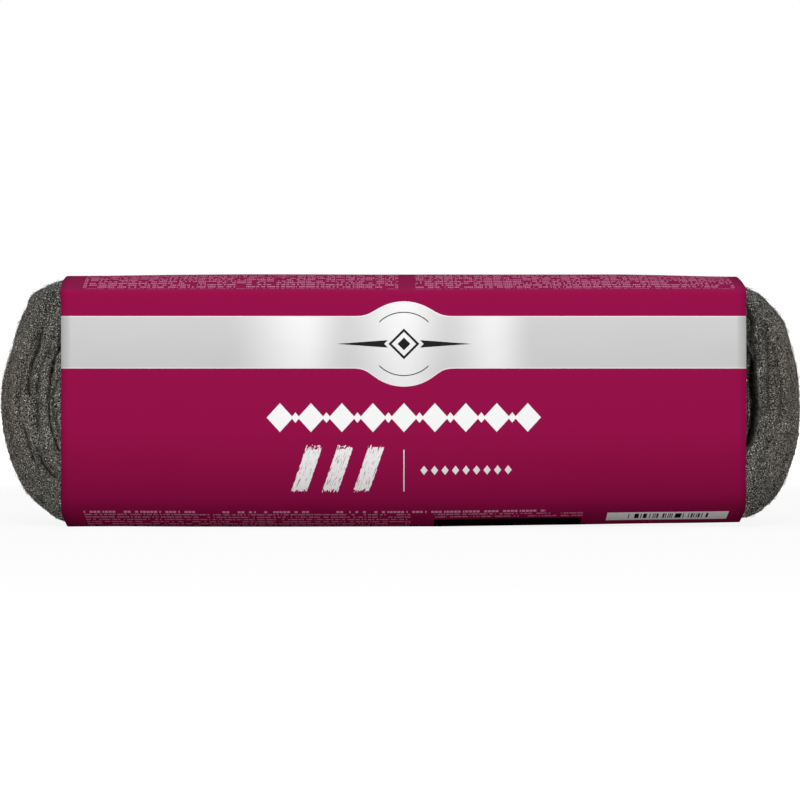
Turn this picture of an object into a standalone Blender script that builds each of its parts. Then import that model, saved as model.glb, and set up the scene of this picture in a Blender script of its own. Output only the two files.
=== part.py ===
"""Steel wool pad: one long strip of steel wool wound in flat loops, held by a printed paper sleeve.

Lengths are in metres. X runs along the pad, the printed front faces -Y and +Z is up. The pad stands
on the flat spot under its sleeve, with the origin at the middle of its footprint.
"""

import bmesh
import bpy
import numpy as np

# Section of the sleeve, across the pad
HEIGHT = 0.0785
DEPTH = 0.058
TOP_CROWN = 0.006
TOP_CREASE_SET_IN = 0.0018
CHIN_HEIGHT = 0.032
BOTTOM_CREASE_HEIGHT = 0.0078
BOTTOM_CREASE_SET_IN = 0.0075
FLANK_CROWN = 0.0007
FLAT_SPOT_WIDTH = 0.024
CREASE_SOFTNESS = 0.003

# Sleeve, along the pad
SLEEVE_LENGTH = 0.2075
SLEEVE_OFF_CENTRE = 0.0012
PAPER = 0.0003
LAP_WIDTH = 0.016
LAP_EDGE_HEIGHT = 0.030
LAP_STEP = 0.0001
RIGHT_END_LIFT = 0.0015
LIFT_STARTS_AT = 0.012

# Wool
WOOL_LENGTH = 0.250
WOOL_GAP = 0.0003
LEFT_NOSE_HEIGHT = 0.0379
RIGHT_NOSE_HEIGHT = 0.0363
BEND_STARTS_AT = 0.101
LEFT_CHIN_SHARPNESS = 1.13
RIGHT_CHIN_SHARPNESS = 0.77
END_NARROWING = 0.0085
RIM_ROUNDING = 0.0058
RIM_STARTS_AT = 0.12
GROOVE_FADE = 0.008
GAP_DEPTH = 0.0125
GAP_FADE = 0.0035
LUMP_HEIGHT = 0.00045
LUMP_LENGTH = 0.011

# The turns that show at an end, from the tip inwards: how far each one's bend stands in from the tip,
# how far its groove lies from the middle of the front face, and how deep that groove is
OUTER_TURN = (0.0073, 0.0305, 0.0019)
SECOND_TURN = (0.0108, 0.0240, 0.0024)
THIRD_TURN = (0.0160, 0.0178, 0.0008)
INNER_TURN = (0.0179, 0.0160, 0.0008)
HEART_TURN = (0.0205, 0.0080, 0.0012)
HEART_INSET = 0.0228

# Mesh density
OUTLINE_STEP = 0.0005
POINTS_PER_ARC = 40
SLEEVE_POINTS = 60
SLEEVE_STATIONS = 9
STRAIGHT_STATIONS = 5
BEND_POINTS = 23
RIM_RINGS = 7
LUMP_SEED = 11


def arc(start, end, bulge, points):
    """Points of the circular arc from start to end, bulging to the right of the way, without its end."""
    start = np.array(start)
    end = np.array(end)
    share = np.linspace(0.0, 1.0, points, endpoint=False)[:, None]
    straight = start + share * (end - start)
    if bulge == 0:
        return straight
    chord = np.linalg.norm(end - start)
    radius = (chord**2 / 4 + bulge**2) / (2 * bulge)
    along = (share - 0.5) * chord
    rise = np.sqrt(radius**2 - along**2) - (radius - bulge)
    way = (end - start) / chord
    right = np.array([way[1], -way[0]])
    return straight + rise * right


def chord_bulge(start, end, tangent_at_start):
    """Bulge of the arc that leaves start along the tangent and ends at end."""
    way = np.array(end) - np.array(start)
    chord = np.linalg.norm(way)
    cosine = np.dot(way, tangent_at_start) / chord / np.linalg.norm(tangent_at_start)
    turn = np.arccos(np.clip(cosine, -1.0, 1.0))
    return chord / 2 * np.tan(turn / 2)


def spaced(outline, count_or_step, measure=None):
    """The closed outline sampled again, evenly by its length or by the given growing measure."""
    closed = np.vstack([outline, outline[:1]])
    if measure is None:
        lengths = np.linalg.norm(np.diff(closed, axis=0), axis=1)
        measure = np.concatenate([[0.0], np.cumsum(lengths)])
    count = count_or_step
    if count_or_step < 1:
        count = int(round(measure[-1] / count_or_step))
    wanted = np.linspace(0.0, measure[-1], count, endpoint=False)
    return np.column_stack([np.interp(wanted, measure, closed[:, axis]) for axis in range(2)])


def sleeve_outline():
    """The sleeve's outer section as a fine closed outline of (y, z), from the top middle over the front.

    The front stands nearly upright, turns in below the chin and meets top and bottom at soft creases.
    """
    front = -DEPTH / 2
    apex = (0.0, HEIGHT)
    top_crease = (front + TOP_CREASE_SET_IN, HEIGHT - TOP_CROWN)
    chin = (front, CHIN_HEIGHT)
    bottom_crease = (front + BOTTOM_CREASE_SET_IN, BOTTOM_CREASE_HEIGHT)
    flat_edge = (-FLAT_SPOT_WIDTH / 2, 0.0)
    points = POINTS_PER_ARC
    half = np.vstack([
        arc(apex, top_crease, chord_bulge(apex, top_crease, (-1.0, 0.0)), points),
        arc(top_crease, chin, chord_bulge(chin, top_crease, (0.0, 1.0)), points),
        arc(chin, bottom_crease, chord_bulge(chin, bottom_crease, (0.0, -1.0)), points),
        arc(bottom_crease, flat_edge, FLANK_CROWN, points),
        arc(flat_edge, (0.0, 0.0), 0, points),
        [(0.0, 0.0)],
    ])
    half[:, 0] = np.minimum(half[:, 0], 0.0)
    back = half[-2:0:-1] * [-1, 1]
    outline = spaced(np.vstack([half, back]), OUTLINE_STEP)
    return softened(outline)


def softened(outline):
    """The outline with its creases rounded by a moving average, and its flat spot kept flat."""
    reach = int(round(CREASE_SOFTNESS / OUTLINE_STEP))
    weights = np.hanning(2 * reach + 3)[1:-1]
    weights /= weights.sum()
    shifts = range(-reach, reach + 1)
    soft = sum(weight * np.roll(outline, shift, axis=0) for weight, shift in zip(weights, shifts))
    soft[:, 1] -= soft[:, 1].min()
    return soft


def normals_of(outline):
    """Outward unit normals of a closed outline that runs over the front and down."""
    tangent = np.roll(outline, -1, axis=0) - np.roll(outline, 1, axis=0)
    normal = np.column_stack([tangent[:, 1], -tangent[:, 0]])
    return normal / np.linalg.norm(normal, axis=1)[:, None]


def inward(outline, distance):
    """The outline moved inwards by a distance."""
    return outline - normals_of(outline) * distance


def lifted(height, x):
    """Height of a section point once the sleeve's right end is lifted a little off the floor."""
    end = SLEEVE_OFF_CENTRE + SLEEVE_LENGTH / 2
    share = np.clip((x - LIFT_STARTS_AT) / (end - LIFT_STARTS_AT), 0.0, 1.2)
    lower = np.clip(1.0 - height / (HEIGHT / 2), 0.0, 1.0)
    return height + RIGHT_END_LIFT * share * lower


def sleeve_samples(outline):
    """Where the sleeve's mesh has its lengthwise edges: more of them where the section turns."""
    closed = np.vstack([outline, outline[:1]])
    steps = np.linalg.norm(np.diff(closed, axis=0), axis=1)
    normal = normals_of(outline)
    turns = np.linalg.norm(np.roll(normal, -1, axis=0) - normal, axis=1)
    density = steps / steps.sum() + 0.8 * turns / turns.sum()
    measure = np.concatenate([[0.0], np.cumsum(density)])
    return spaced(outline, SLEEVE_POINTS, measure)


def lap_thickness(outline):
    """Extra thickness at each point of the outline where the sheet lies over its own other end."""
    back = outline[:, 0] > DEPTH / 4
    top = LAP_EDGE_HEIGHT + LAP_WIDTH
    height = outline[:, 1]
    ramp = np.clip((top - height) / (LAP_WIDTH / 2), 0.0, 1.0)
    return PAPER * np.where(back & (height >= LAP_EDGE_HEIGHT), ramp, 0.0)


def with_lap_edge(outline):
    """The outline with a close pair of points at the lap's outer edge, so that its step is sharp."""
    side = outline[:, 0] > DEPTH / 4
    behind = [i for i in range(len(outline)) if side[i] and outline[i, 1] < LAP_EDGE_HEIGHT]
    last = max(behind)
    following = outline[(last + 1) % len(outline)]
    share = (LAP_EDGE_HEIGHT - outline[last, 1]) / (following[1] - outline[last, 1])
    edge = outline[last] + share * (following - outline[last])
    pair = [edge - [0.0, LAP_STEP], edge + [0.0, LAP_STEP]]
    return np.vstack([outline[: last + 1], pair, outline[last + 1 :]])


def material(name, colour, roughness, metallic):
    """A Principled material with one colour."""
    made = bpy.data.materials.new(name)
    made.use_nodes = True
    shader = made.node_tree.nodes["Principled BSDF"]
    shader.inputs["Base Color"].default_value = (*colour, 1.0)
    shader.inputs["Roughness"].default_value = roughness
    shader.inputs["Metallic"].default_value = metallic
    made.diffuse_color = (*colour, 1.0)
    return made


def add_object(name, vertices, faces, finish, sharp_angle):
    """A named mesh object with merged vertices, outward faces and smooth shading."""
    mesh = bpy.data.meshes.new(name)
    mesh.from_pydata([tuple(vertex) for vertex in vertices], [], faces)
    shell = bmesh.new()
    shell.from_mesh(mesh)
    bmesh.ops.remove_doubles(shell, verts=shell.verts, dist=0.00001)
    bmesh.ops.dissolve_degenerate(shell, edges=shell.edges, dist=0.000001)
    bmesh.ops.recalc_face_normals(shell, faces=shell.faces)
    shell.to_mesh(mesh)
    shell.free()
    mesh.shade_smooth()
    mesh.set_sharp_from_angle(angle=np.radians(sharp_angle))
    mesh.materials.append(finish)
    made = bpy.data.objects.new(name, mesh)
    bpy.context.scene.collection.objects.link(made)
    return made


def grid_faces(rows, columns, start=0):
    """Quads between consecutive rows of points, each row a closed ring of columns."""
    faces = []
    for row in range(rows - 1):
        for column in range(columns):
            after = (column + 1) % columns
            low = start + row * columns
            faces.append((low + column, low + after, low + columns + after, low + columns + column))
    return faces


def build_sleeve(section):
    """The printed sheet: a thin tube of paper round the wool, thicker where it is lapped at the back."""
    outer = with_lap_edge(sleeve_samples(section))
    count = len(outer)
    inner = inward(outer, PAPER)
    outer = outer + normals_of(outer) * lap_thickness(outer)[:, None]
    stations = SLEEVE_OFF_CENTRE + np.linspace(-SLEEVE_LENGTH / 2, SLEEVE_LENGTH / 2, SLEEVE_STATIONS)
    vertices = []
    for loop in (outer, inner):
        for x in stations:
            vertices += [(x, y, lifted(z, x)) for y, z in loop]
    inner_start = len(stations) * count
    faces = grid_faces(len(stations), count)
    faces += grid_faces(len(stations), count, inner_start)
    for end in (0, len(stations) - 1):
        for column in range(count):
            after = (column + 1) % count
            low = end * count
            faces.append((low + column, low + after, inner_start + low + after, inner_start + low + column))
    paper = material("printed_paper", (0.30, 0.008, 0.065), 0.45, 0.0)
    return add_object("paper_sleeve", vertices, faces, paper, 50)


def quarter(outline, upward):
    """The front quarter of an outline, from the front middle to the top or bottom middle, by length."""
    front = outline[outline[:, 0] <= 0.0]
    height = front[:, 1]
    middle = (LEFT_NOSE_HEIGHT + RIGHT_NOSE_HEIGHT) / 2
    start = (np.interp(-middle, -height, front[:, 0]), middle)
    run = front[height > middle][::-1] if upward else front[height < middle]
    run = np.vstack([[start], run])
    lengths = np.concatenate([[0.0], np.cumsum(np.linalg.norm(np.diff(run, axis=0), axis=1))])
    return run, lengths


def turn_rings():
    """The rings of the wool's mesh on its front half, from the heart of the skein to the rim's middle.

    Each ring is (distance out over the front face, inset of its bend from the tip, groove depth,
    depth of the open gap). A ring past the front face has its distance as a share of the rim, plus 1.
    """
    rings = []
    edges = [(HEART_INSET, 0.0, 0.0), HEART_TURN, INNER_TURN]
    rings += turns_between(edges)
    gap_inner = INNER_TURN
    gap_outer = THIRD_TURN
    wall = (gap_outer[1] - gap_inner[1]) / 4
    rings.append((gap_inner[1], gap_inner[0], gap_inner[2], 0.0))
    rings.append((gap_inner[1] + wall, (3 * gap_inner[0] + gap_outer[0]) / 4, 0.0, GAP_DEPTH))
    rings.append((gap_outer[1] - wall, (gap_inner[0] + 3 * gap_outer[0]) / 4, 0.0, GAP_DEPTH))
    rings += turns_between([gap_outer, SECOND_TURN, OUTER_TURN])
    rings.append((OUTER_TURN[1], OUTER_TURN[0], OUTER_TURN[2], 0.0))
    for share in np.linspace(RIM_STARTS_AT, 1.0, RIM_RINGS):
        rest = (1.0 - share) / (1.0 - RIM_STARTS_AT)
        rings.append((1.0 + share, RIM_ROUNDING * rest**2, 0.0, 0.0))
    return rings


def turns_between(edges):
    """Rings over the rounded ridge of each turn, from one groove up to, and without, the last."""
    rings = []
    for low, high in zip(edges, edges[1:]):
        for share in (0.0, 0.25, 0.55, 0.8):
            inset, out, groove = (a + (b - a) * share for a, b in zip(low, high))
            relief = groove * (1.0 - np.sin(np.pi * share) ** 0.6)
            rings.append((out, inset, relief, 0.0))
    return rings


def lumps(seed):
    """A smooth, seeded unevenness of the wool: a function of position, about -1 to 1."""
    random = np.random.default_rng(seed)
    waves = random.normal(size=(9, 3)) / LUMP_LENGTH
    phases = random.uniform(0.0, 2 * np.pi, 9)

    def at(point):
        return float(np.sin(waves @ np.array(point) + phases).mean() * 2.0)

    return at


def smooth(value):
    """Eases a share from 0 to 1."""
    share = np.clip(value, 0.0, 1.0)
    return share * share * (3.0 - 2.0 * share)


def loop_stations():
    """Places round one loop: (side, sine, cosine) on a bend, or (0, x, up) on a straight."""
    straight = np.linspace(-BEND_STARTS_AT + GROOVE_FADE, BEND_STARTS_AT - GROOVE_FADE, STRAIGHT_STATIONS)
    bend = np.linspace(np.pi / 2, -np.pi / 2, BEND_POINTS)
    places = [(0, x, 1.0) for x in straight]
    places += [(1, np.sin(angle), np.cos(angle)) for angle in bend]
    places += [(0, x, -1.0) for x in straight[::-1]]
    places += [(-1, np.sin(angle), np.cos(angle)) for angle in bend[::-1]]
    return places


def on_section(run, out):
    """(y, z) on a quarter of the section: a distance from the front middle, or 1 plus a share of the rim."""
    points, lengths = run
    distance = out
    if out >= 1.0:
        distance = OUTER_TURN[1] + (out - 1.0) * (lengths[-1] - OUTER_TURN[1])
    return [np.interp(distance, lengths, points[:, axis]) for axis in range(2)]


def wool_point(place, ring, quarters, unevenness, behind):
    """One vertex of the wool: a place round the loop, on one ring, before or behind the middle plane."""
    side, first, second = place
    out, inset, relief, gap = ring
    above, below = (on_section(run, out) for run in quarters)
    if side:
        nose_x = WOOL_LENGTH / 2 - inset
        nose_height = RIGHT_NOSE_HEIGHT if side > 0 else LEFT_NOSE_HEIGHT
        chin = RIGHT_CHIN_SHARPNESS if side > 0 else LEFT_CHIN_SHARPNESS
        sharpness = 1.0 + (chin - 1.0) * min(out / OUTER_TURN[1], 1.0)
        reach = max(second, 0.0) ** (sharpness if first < 0 else 1.0)
        x = side * (BEND_STARTS_AT + (nose_x - BEND_STARTS_AT) * reach)
        top = smooth((1.0 + first) / 2)
        y = below[0] + (above[0] - below[0]) * top
        end_height = above[1] if first > 0 else below[1]
        z = nose_height + (end_height - nose_height) * abs(first)
    else:
        x = first
        y, z = above if second > 0 else below
    sleeve_end = SLEEVE_LENGTH / 2 + SLEEVE_OFF_CENTRE * np.sign(x)
    past = abs(x) - sleeve_end
    free = np.clip(past / (WOOL_LENGTH / 2 - sleeve_end), 0.0, 1.0)
    opened = smooth((abs(x) - BEND_STARTS_AT + GROOVE_FADE) / GROOVE_FADE)
    gap_opened = smooth(past / GAP_FADE + 0.6)
    y += opened * relief + gap_opened * gap
    y *= 1.0 - END_NARROWING / (DEPTH / 2) * free**1.5
    if behind:
        y = -y
    uneven = unevenness((x, y, z)) * LUMP_HEIGHT * smooth(past / GAP_FADE)
    x += uneven * np.sign(x) * free
    y += uneven * np.sign(y)
    return x, y, lifted(z, x)


def build_wool(section):
    """The skein: the turns of one strip as one body, with grooves and an open gap between their bends."""
    outline = inward(section, PAPER + WOOL_GAP)
    quarters = (quarter(outline, True), quarter(outline, False))
    unevenness = lumps(LUMP_SEED)
    places = loop_stations()
    half = turn_rings()
    rings = [(ring, False) for ring in half]
    rings += [(ring, True) for ring in half[-2::-1]]
    vertices = [
        wool_point(place, ring, quarters, unevenness, behind)
        for ring, behind in rings
        for place in places
    ]
    faces = grid_faces(len(rings), len(places))
    wool = material("steel_wool", (0.085, 0.078, 0.068), 0.62, 0.35)
    return add_object("steel_wool", vertices, faces, wool, 60)


def main():
    for old in list(bpy.data.objects):
        bpy.data.objects.remove(old, do_unlink=True)
    section = sleeve_outline()
    build_sleeve(section)
    build_wool(section)


main()
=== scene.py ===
"""Steel wool pad, dressed: layered, fibrous wool bends and a printed, lapped paper sleeve on a pale floor.

Run as a script, it makes each piece with its operator. The operators are also listed in a sidebar panel.
The pad lies along X, its printed front faces -Y, and it stands on the floor at Z = 0.
Lengths are in metres unless a name or a description says millimetres.
"""

import math
from dataclasses import dataclass

import bmesh
import bpy
import numpy as np
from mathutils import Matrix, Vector


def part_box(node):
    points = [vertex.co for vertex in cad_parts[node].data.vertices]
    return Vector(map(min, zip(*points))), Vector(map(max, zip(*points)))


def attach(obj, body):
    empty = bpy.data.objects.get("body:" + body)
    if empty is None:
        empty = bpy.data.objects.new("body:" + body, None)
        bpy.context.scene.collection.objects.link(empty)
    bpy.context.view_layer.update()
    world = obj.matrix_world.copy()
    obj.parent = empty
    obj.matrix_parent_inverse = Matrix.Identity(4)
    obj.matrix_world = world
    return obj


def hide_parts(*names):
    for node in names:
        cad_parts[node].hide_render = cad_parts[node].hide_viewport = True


bl_info = {
    "name": "Steel wool pad",
    "version": (1, 0, 0),
    "blender": (4, 5, 0),
    "location": "3D Viewport > Sidebar > Wool pad",
    "description": "Makes a sleeved steel wool pad: its wound turns, loose fibres, sleeve and stage",
    "category": "Add Mesh",
}

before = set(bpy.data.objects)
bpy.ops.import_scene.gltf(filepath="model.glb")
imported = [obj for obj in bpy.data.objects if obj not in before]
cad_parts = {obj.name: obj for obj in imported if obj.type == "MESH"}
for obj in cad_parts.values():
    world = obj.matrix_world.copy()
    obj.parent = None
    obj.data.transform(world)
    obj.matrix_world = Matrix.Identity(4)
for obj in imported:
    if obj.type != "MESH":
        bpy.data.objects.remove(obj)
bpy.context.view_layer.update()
SLEEVE_LOW, SLEEVE_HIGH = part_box("paper_sleeve")
WOOL_LOW, WOOL_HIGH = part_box("steel_wool")
MM = 0.001

# Section of the sleeve, across the pad
HEIGHT = SLEEVE_HIGH[2]
DEPTH = -2 * SLEEVE_LOW[1]
TOP_CROWN = 0.006
TOP_CREASE_SET_IN = 0.0018
CHIN_HEIGHT = 0.032
BOTTOM_CREASE_HEIGHT = 0.0078
BOTTOM_CREASE_SET_IN = 0.0075
FLANK_CROWN = 0.0007
FLAT_SPOT_WIDTH = 0.024
CREASE_SOFTNESS = 0.0016
OUTLINE_STEP = 0.0005
POINTS_PER_ARC = 40

# Sleeve, along the pad: its right end stands off the floor, and its crown sinks towards both ends
SLEEVE_MIDDLE = (SLEEVE_LOW[0] + SLEEVE_HIGH[0]) / 2
SLEEVE_LENGTH = SLEEVE_HIGH[0] - SLEEVE_LOW[0]
RIGHT_END_LIFT = 0.0015
LIFT_STARTS_AT = 0.012
LEFT_CROWN_DROP = 0.0004
RIGHT_CROWN_DROP = 0.0007
CROWN_DROP_STARTS_AT = 0.065
# Heights on the sleeve's two ends, and how far each end reaches past its plane there
FLARE_HEIGHTS = (0.0, 0.004, 0.006, 0.015, 0.024, 0.050, 0.069, 0.0735, 0.0785)
LEFT_FLARES = (0.0002, 0.0014, 0.0014, 0.0008, 0.0005, 0.0004, 0.0006, 0.0010, 0.0011)
RIGHT_FLARES = (0.0, 0.0010, 0.0011, 0.0005, 0.0002, 0.0003, 0.0003, 0.0005, -0.0002)

# Sheet: the outer layer of its lap lies over the inner one and eases down past it
LAP_EDGE_HEIGHT = 0.030
LAP_WIDTH = 0.016
LAP_EASE = 0.008
LAP_GAP = 0.00005
LAP_EDGE_CURL = 0.0003
LAP_CURL_REACH = 0.003
WAVE_LENGTHS = (0.041, 0.027)
END_RIPPLE = 0.0001
END_RIPPLE_LENGTH = 0.012
END_RIPPLE_REACH = 0.006
# No waves about the flat spot: its middle past the front's foot, and the length of their fade
REST_OFFSET = 0.006
REST_FADE = 0.02
# Grid of the sheet, and where its map in metres has its origin
SHEET_COLUMNS = 70
SHEET_ROW_STEP = 0.0022
SHEET_ROW_TURN = 0.06
MAP_ORIGIN = 0.5

# Wool bends: where they start along the pad, and how they draw in towards the tips
WOOL_INSET = 0.0006
BEND_STARTS_AT = 0.101
GROOVE_FADE = 0.008
END_NARROWING = 0.0085
# How far out over the front face each place lies, and how far its bend stands in from the tip
FACE_STOPS = (0.0, 0.008, 0.016, 0.0178, 0.024, 0.0305)
TIP_INSETS = (0.0228, 0.0205, 0.0179, 0.0160, 0.0108, 0.0073)
# The rim, from a face to the middle of the outer turn: where it starts to round, how much, and its length
RIM_STARTS_AT = 0.12
RIM_ROUNDING = 0.0058
RIM_REACH = 0.036
# Lengths of fades: past the sleeve's end, off the heart, of a gap under the sleeve and at its inner side
BARE_FADE = 0.002
HEART_FADE = 0.004
GAP_UNDER_SLEEVE_FADE = 0.0035
INNER_FADE = 0.0006
# The turns inside a gap get painted shade by how far they lie back, and no face comes nearer to the middle
# plane
SHADED_RECESS = 0.0035
INNER_SHADE = 0.3
NEAREST_TO_MIDDLE = 0.0035

# Unevenness of the wool: length of a radian round a bend, and sizes of bumps round a bend and over a face
ROUND_A_BEND = 0.034
LUMP_SIZE = (0.010, 0.0085)
FOLD_SIZE = (0.021, 0.0046)
FOLD_SLANT = 0.013
LAYER_SIZE = (0.013, 0.0022)
STREAK_SIZE = (0.0055, 0.0010)
# Creases, open gaps and notches: how far they stray, how they fade, and what depth gets fully dark painted
# shade
CREASE_WANDER = 0.0010
CREASE_FADE = 0.16
DARK_CREASE_DEPTH = 0.0032
GAP_WANDER = 0.0003
GAP_EDGE = 0.0007
NOTCH_REACH = 0.006
# Points of the shell nearer to each other than this are one
DOUBLED_WITHIN = 0.000002

# Fibres: the widest angle off the wool's flow, a full turn and a random one, and where a coat starts
WIDEST_TURN = 2.4
FULL_TURN = 6.2832
ANY_PHASE = 6.28
COAT_STARTS_PAST = 0.0002
COAT_FADE = 0.0015
THINNED_IN_CREASES = 0.92


def smooth(value):
    """Eases a share from 0 to 1."""
    share = np.clip(value, 0.0, 1.0)
    return share * share * (3.0 - 2.0 * share)


def uneven(u, v, seed, octaves=3):
    """Smooth seeded noise over two coordinates, about -1 to 1, one bump to a unit."""
    random = np.random.default_rng(seed)
    total = np.zeros(np.broadcast(u, v).shape)
    weight = 1.0
    for _ in range(octaves):
        table = random.uniform(-1.0, 1.0, (64, 64))
        column = np.floor(u).astype(int)
        row = np.floor(v).astype(int)
        right = smooth(u - column)
        down = smooth(v - row)
        corners = [table[(column + i) % 64, (row + j) % 64] for i in (0, 1) for j in (0, 1)]
        near = corners[0] * (1 - down) + corners[1] * down
        far = corners[2] * (1 - down) + corners[3] * down
        total = total + weight * (near * (1 - right) + far * right)
        u = u * 2.03 + 17.3
        v = v * 2.03 + 5.7
        weight *= 0.5
    return total / 1.3


def arc(start, end, bulge):
    """Points of the circular arc from start to end, bulging to the right of the way, without its end."""
    start = np.array(start)
    end = np.array(end)
    share = np.linspace(0.0, 1.0, POINTS_PER_ARC, endpoint=False)[:, None]
    straight = start + share * (end - start)
    if bulge == 0:
        return straight
    chord = np.linalg.norm(end - start)
    radius = (chord**2 / 4 + bulge**2) / (2 * bulge)
    along = (share - 0.5) * chord
    rise = np.sqrt(radius**2 - along**2) - (radius - bulge)
    way = (end - start) / chord
    return straight + rise * np.array([way[1], -way[0]])


def chord_bulge(start, end, tangent_at_start):
    """Bulge of the arc that leaves start along the tangent and ends at end."""
    way = np.array(end) - np.array(start)
    chord = np.linalg.norm(way)
    turn = np.arccos(np.clip(np.dot(way, tangent_at_start) / chord, -1.0, 1.0))
    return chord / 2 * np.tan(turn / 2)


def sleeve_outline():
    """The sleeve's outer section, a fine closed outline of (y, z) from the top middle over the front."""
    front = -DEPTH / 2
    apex = (0.0, HEIGHT)
    top_crease = (front + TOP_CREASE_SET_IN, HEIGHT - TOP_CROWN)
    chin = (front, CHIN_HEIGHT)
    bottom_crease = (front + BOTTOM_CREASE_SET_IN, BOTTOM_CREASE_HEIGHT)
    flat_edge = (-FLAT_SPOT_WIDTH / 2, 0.0)
    half = np.vstack([
        arc(apex, top_crease, chord_bulge(apex, top_crease, (-1.0, 0.0))),
        arc(top_crease, chin, chord_bulge(chin, top_crease, (0.0, 1.0))),
        arc(chin, bottom_crease, chord_bulge(chin, bottom_crease, (0.0, -1.0))),
        arc(bottom_crease, flat_edge, FLANK_CROWN),
        arc(flat_edge, (0.0, 0.0), 0),
        [(0.0, 0.0)],
    ])
    half[:, 0] = np.minimum(half[:, 0], 0.0)
    loop = np.vstack([half, half[-2:0:-1] * [-1, 1], half[:1]])
    lengths = np.concatenate([[0.0], np.cumsum(np.linalg.norm(np.diff(loop, axis=0), axis=1))])
    wanted = np.linspace(0.0, lengths[-1], int(round(lengths[-1] / OUTLINE_STEP)), endpoint=False)
    outline = np.column_stack([np.interp(wanted, lengths, loop[:, axis]) for axis in range(2)])
    reach = int(round(CREASE_SOFTNESS / OUTLINE_STEP))
    weights = np.hanning(2 * reach + 3)[1:-1]
    weights /= weights.sum()
    shifts = range(-reach, reach + 1)
    soft = sum(weight * np.roll(outline, shift, axis=0) for weight, shift in zip(weights, shifts))
    soft[:, 1] -= soft[:, 1].min()
    return soft


def normals_of(outline):
    """Outward unit normals of a closed outline that runs over the front and down."""
    tangent = np.roll(outline, -1, axis=0) - np.roll(outline, 1, axis=0)
    normal = np.column_stack([tangent[:, 1], -tangent[:, 0]])
    return normal / np.linalg.norm(normal, axis=1)[:, None]


def lifted(height, x):
    """Heights once the right end is lifted a little off the floor and the crown sinks at both ends."""
    share = np.clip((x - LIFT_STARTS_AT) / (SLEEVE_HIGH[0] - LIFT_STARTS_AT), 0.0, 1.2)
    lower = np.clip(1.0 - height / (HEIGHT / 2), 0.0, 1.0)
    crown = smooth((height - HEIGHT + TOP_CROWN) / TOP_CROWN)
    far = smooth((np.abs(x) - CROWN_DROP_STARTS_AT) / (SLEEVE_HIGH[0] - CROWN_DROP_STARTS_AT))
    drop = np.where(x > 0.0, RIGHT_CROWN_DROP, LEFT_CROWN_DROP) * far * crown
    return height + RIGHT_END_LIFT * share * lower - drop


def sleeve_reach(height, side):
    """Distance of the sleeve's end from the middle of the frame, at a height on it."""
    end, flares = (SLEEVE_HIGH[0], RIGHT_FLARES) if side > 0 else (-SLEEVE_LOW[0], LEFT_FLARES)
    return end + np.interp(height, FLARE_HEIGHTS, flares)


def lengths_round(outline):
    """Length along a closed outline at each of its points, and the whole length."""
    steps = np.linalg.norm(np.roll(outline, -1, axis=0) - outline, axis=1)
    return np.concatenate([[0.0], np.cumsum(steps)[:-1]]), steps.sum()


SECTION = sleeve_outline()
SECTION_LENGTHS, SECTION_GIRTH = lengths_round(SECTION)


def front_length_at(height):
    """Length along the section where its front, or its flank below, has this height."""
    front = SECTION[:, 0] <= 0.0
    return float(np.interp(-height, -SECTION[front, 1], SECTION_LENGTHS[front]))


def back_length_at(height):
    """Length along the section where its back has this height."""
    back = SECTION[:, 0] > DEPTH / 4
    return float(np.interp(height, SECTION[back, 1], SECTION_LENGTHS[back]))


def srgb(red, green, blue):
    """A scene-linear colour from sRGB values between 0 and 255."""
    shares = [channel / 255 for channel in (red, green, blue)]
    return tuple(s / 12.92 if s <= 0.04045 else ((s + 0.055) / 1.055) ** 2.4 for s in shares)


class Value:
    """A socket in an expression: arithmetic on it adds Math nodes to the same tree."""

    def __init__(self, tree, socket):
        self.tree = tree
        self.socket = socket

    def output(self, name):
        """Another output of the node that this value comes from, by its name or number."""
        return Value(self.tree, self.socket.node.outputs[name])

    def math(self, operation, *others):
        """This value and the others through one Math node."""
        return self.tree.math(operation, self, *others)

    def __add__(self, other):
        return self.math("ADD", other)

    __radd__ = __add__

    def __sub__(self, other):
        return self.math("SUBTRACT", other)

    def __rsub__(self, other):
        return self.tree.math("SUBTRACT", other, self)

    def __mul__(self, other):
        return self.math("MULTIPLY", other)

    __rmul__ = __mul__

    def __truediv__(self, other):
        return self.math("DIVIDE", other)

    def __rtruediv__(self, other):
        return self.tree.math("DIVIDE", other, self)

    def __lt__(self, other):
        return self.math("LESS_THAN", other)

    def __gt__(self, other):
        return self.math("GREATER_THAN", other)

    def __abs__(self):
        return self.math("ABSOLUTE")

    def ramp(self, low, high):
        """0 below low, 1 above high and smooth between them; low may be the larger of the two."""
        settings = {"interpolation_type": "SMOOTHSTEP"}
        return self.tree.node("ShaderNodeMapRange", settings, {0: self, 1: low, 2: high, 3: 0.0, 4: 1.0})


class NodeTree:
    """A node tree of any kind; node() is the one way in which nodes are added."""

    def __init__(self, tree):
        self.tree = tree
        self.tree.nodes.clear()

    def node(self, kind, settings=None, sockets=None, output=0):
        """Adds a node, sets its settings and then its sockets, and returns one of its outputs."""
        made = self.tree.nodes.new(kind)
        for name, setting in (settings or {}).items():
            if name == "stops":
                self.set_stops(made.color_ramp, setting)
            else:
                setattr(made, name, setting)
        for key, wanted in (sockets or {}).items():
            socket = made.inputs[key]
            if isinstance(wanted, Value):
                self.tree.links.new(wanted.socket, socket)
            else:
                socket.default_value = wanted
        return Value(self, made.outputs[output]) if made.outputs else None

    @staticmethod
    def set_stops(ramp, stops):
        """Gives a colour ramp its stops, each (position, colour), with soft steps between them."""
        ramp.interpolation = "EASE"
        while len(ramp.elements) < len(stops):
            ramp.elements.new(1.0)
        for element, (position, colour) in zip(ramp.elements, stops):
            element.position = position
            element.color = colour

    def math(self, operation, *values):
        """A Math node over values and numbers."""
        return self.node("ShaderNodeMath", {"operation": operation}, dict(enumerate(values)))


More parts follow.
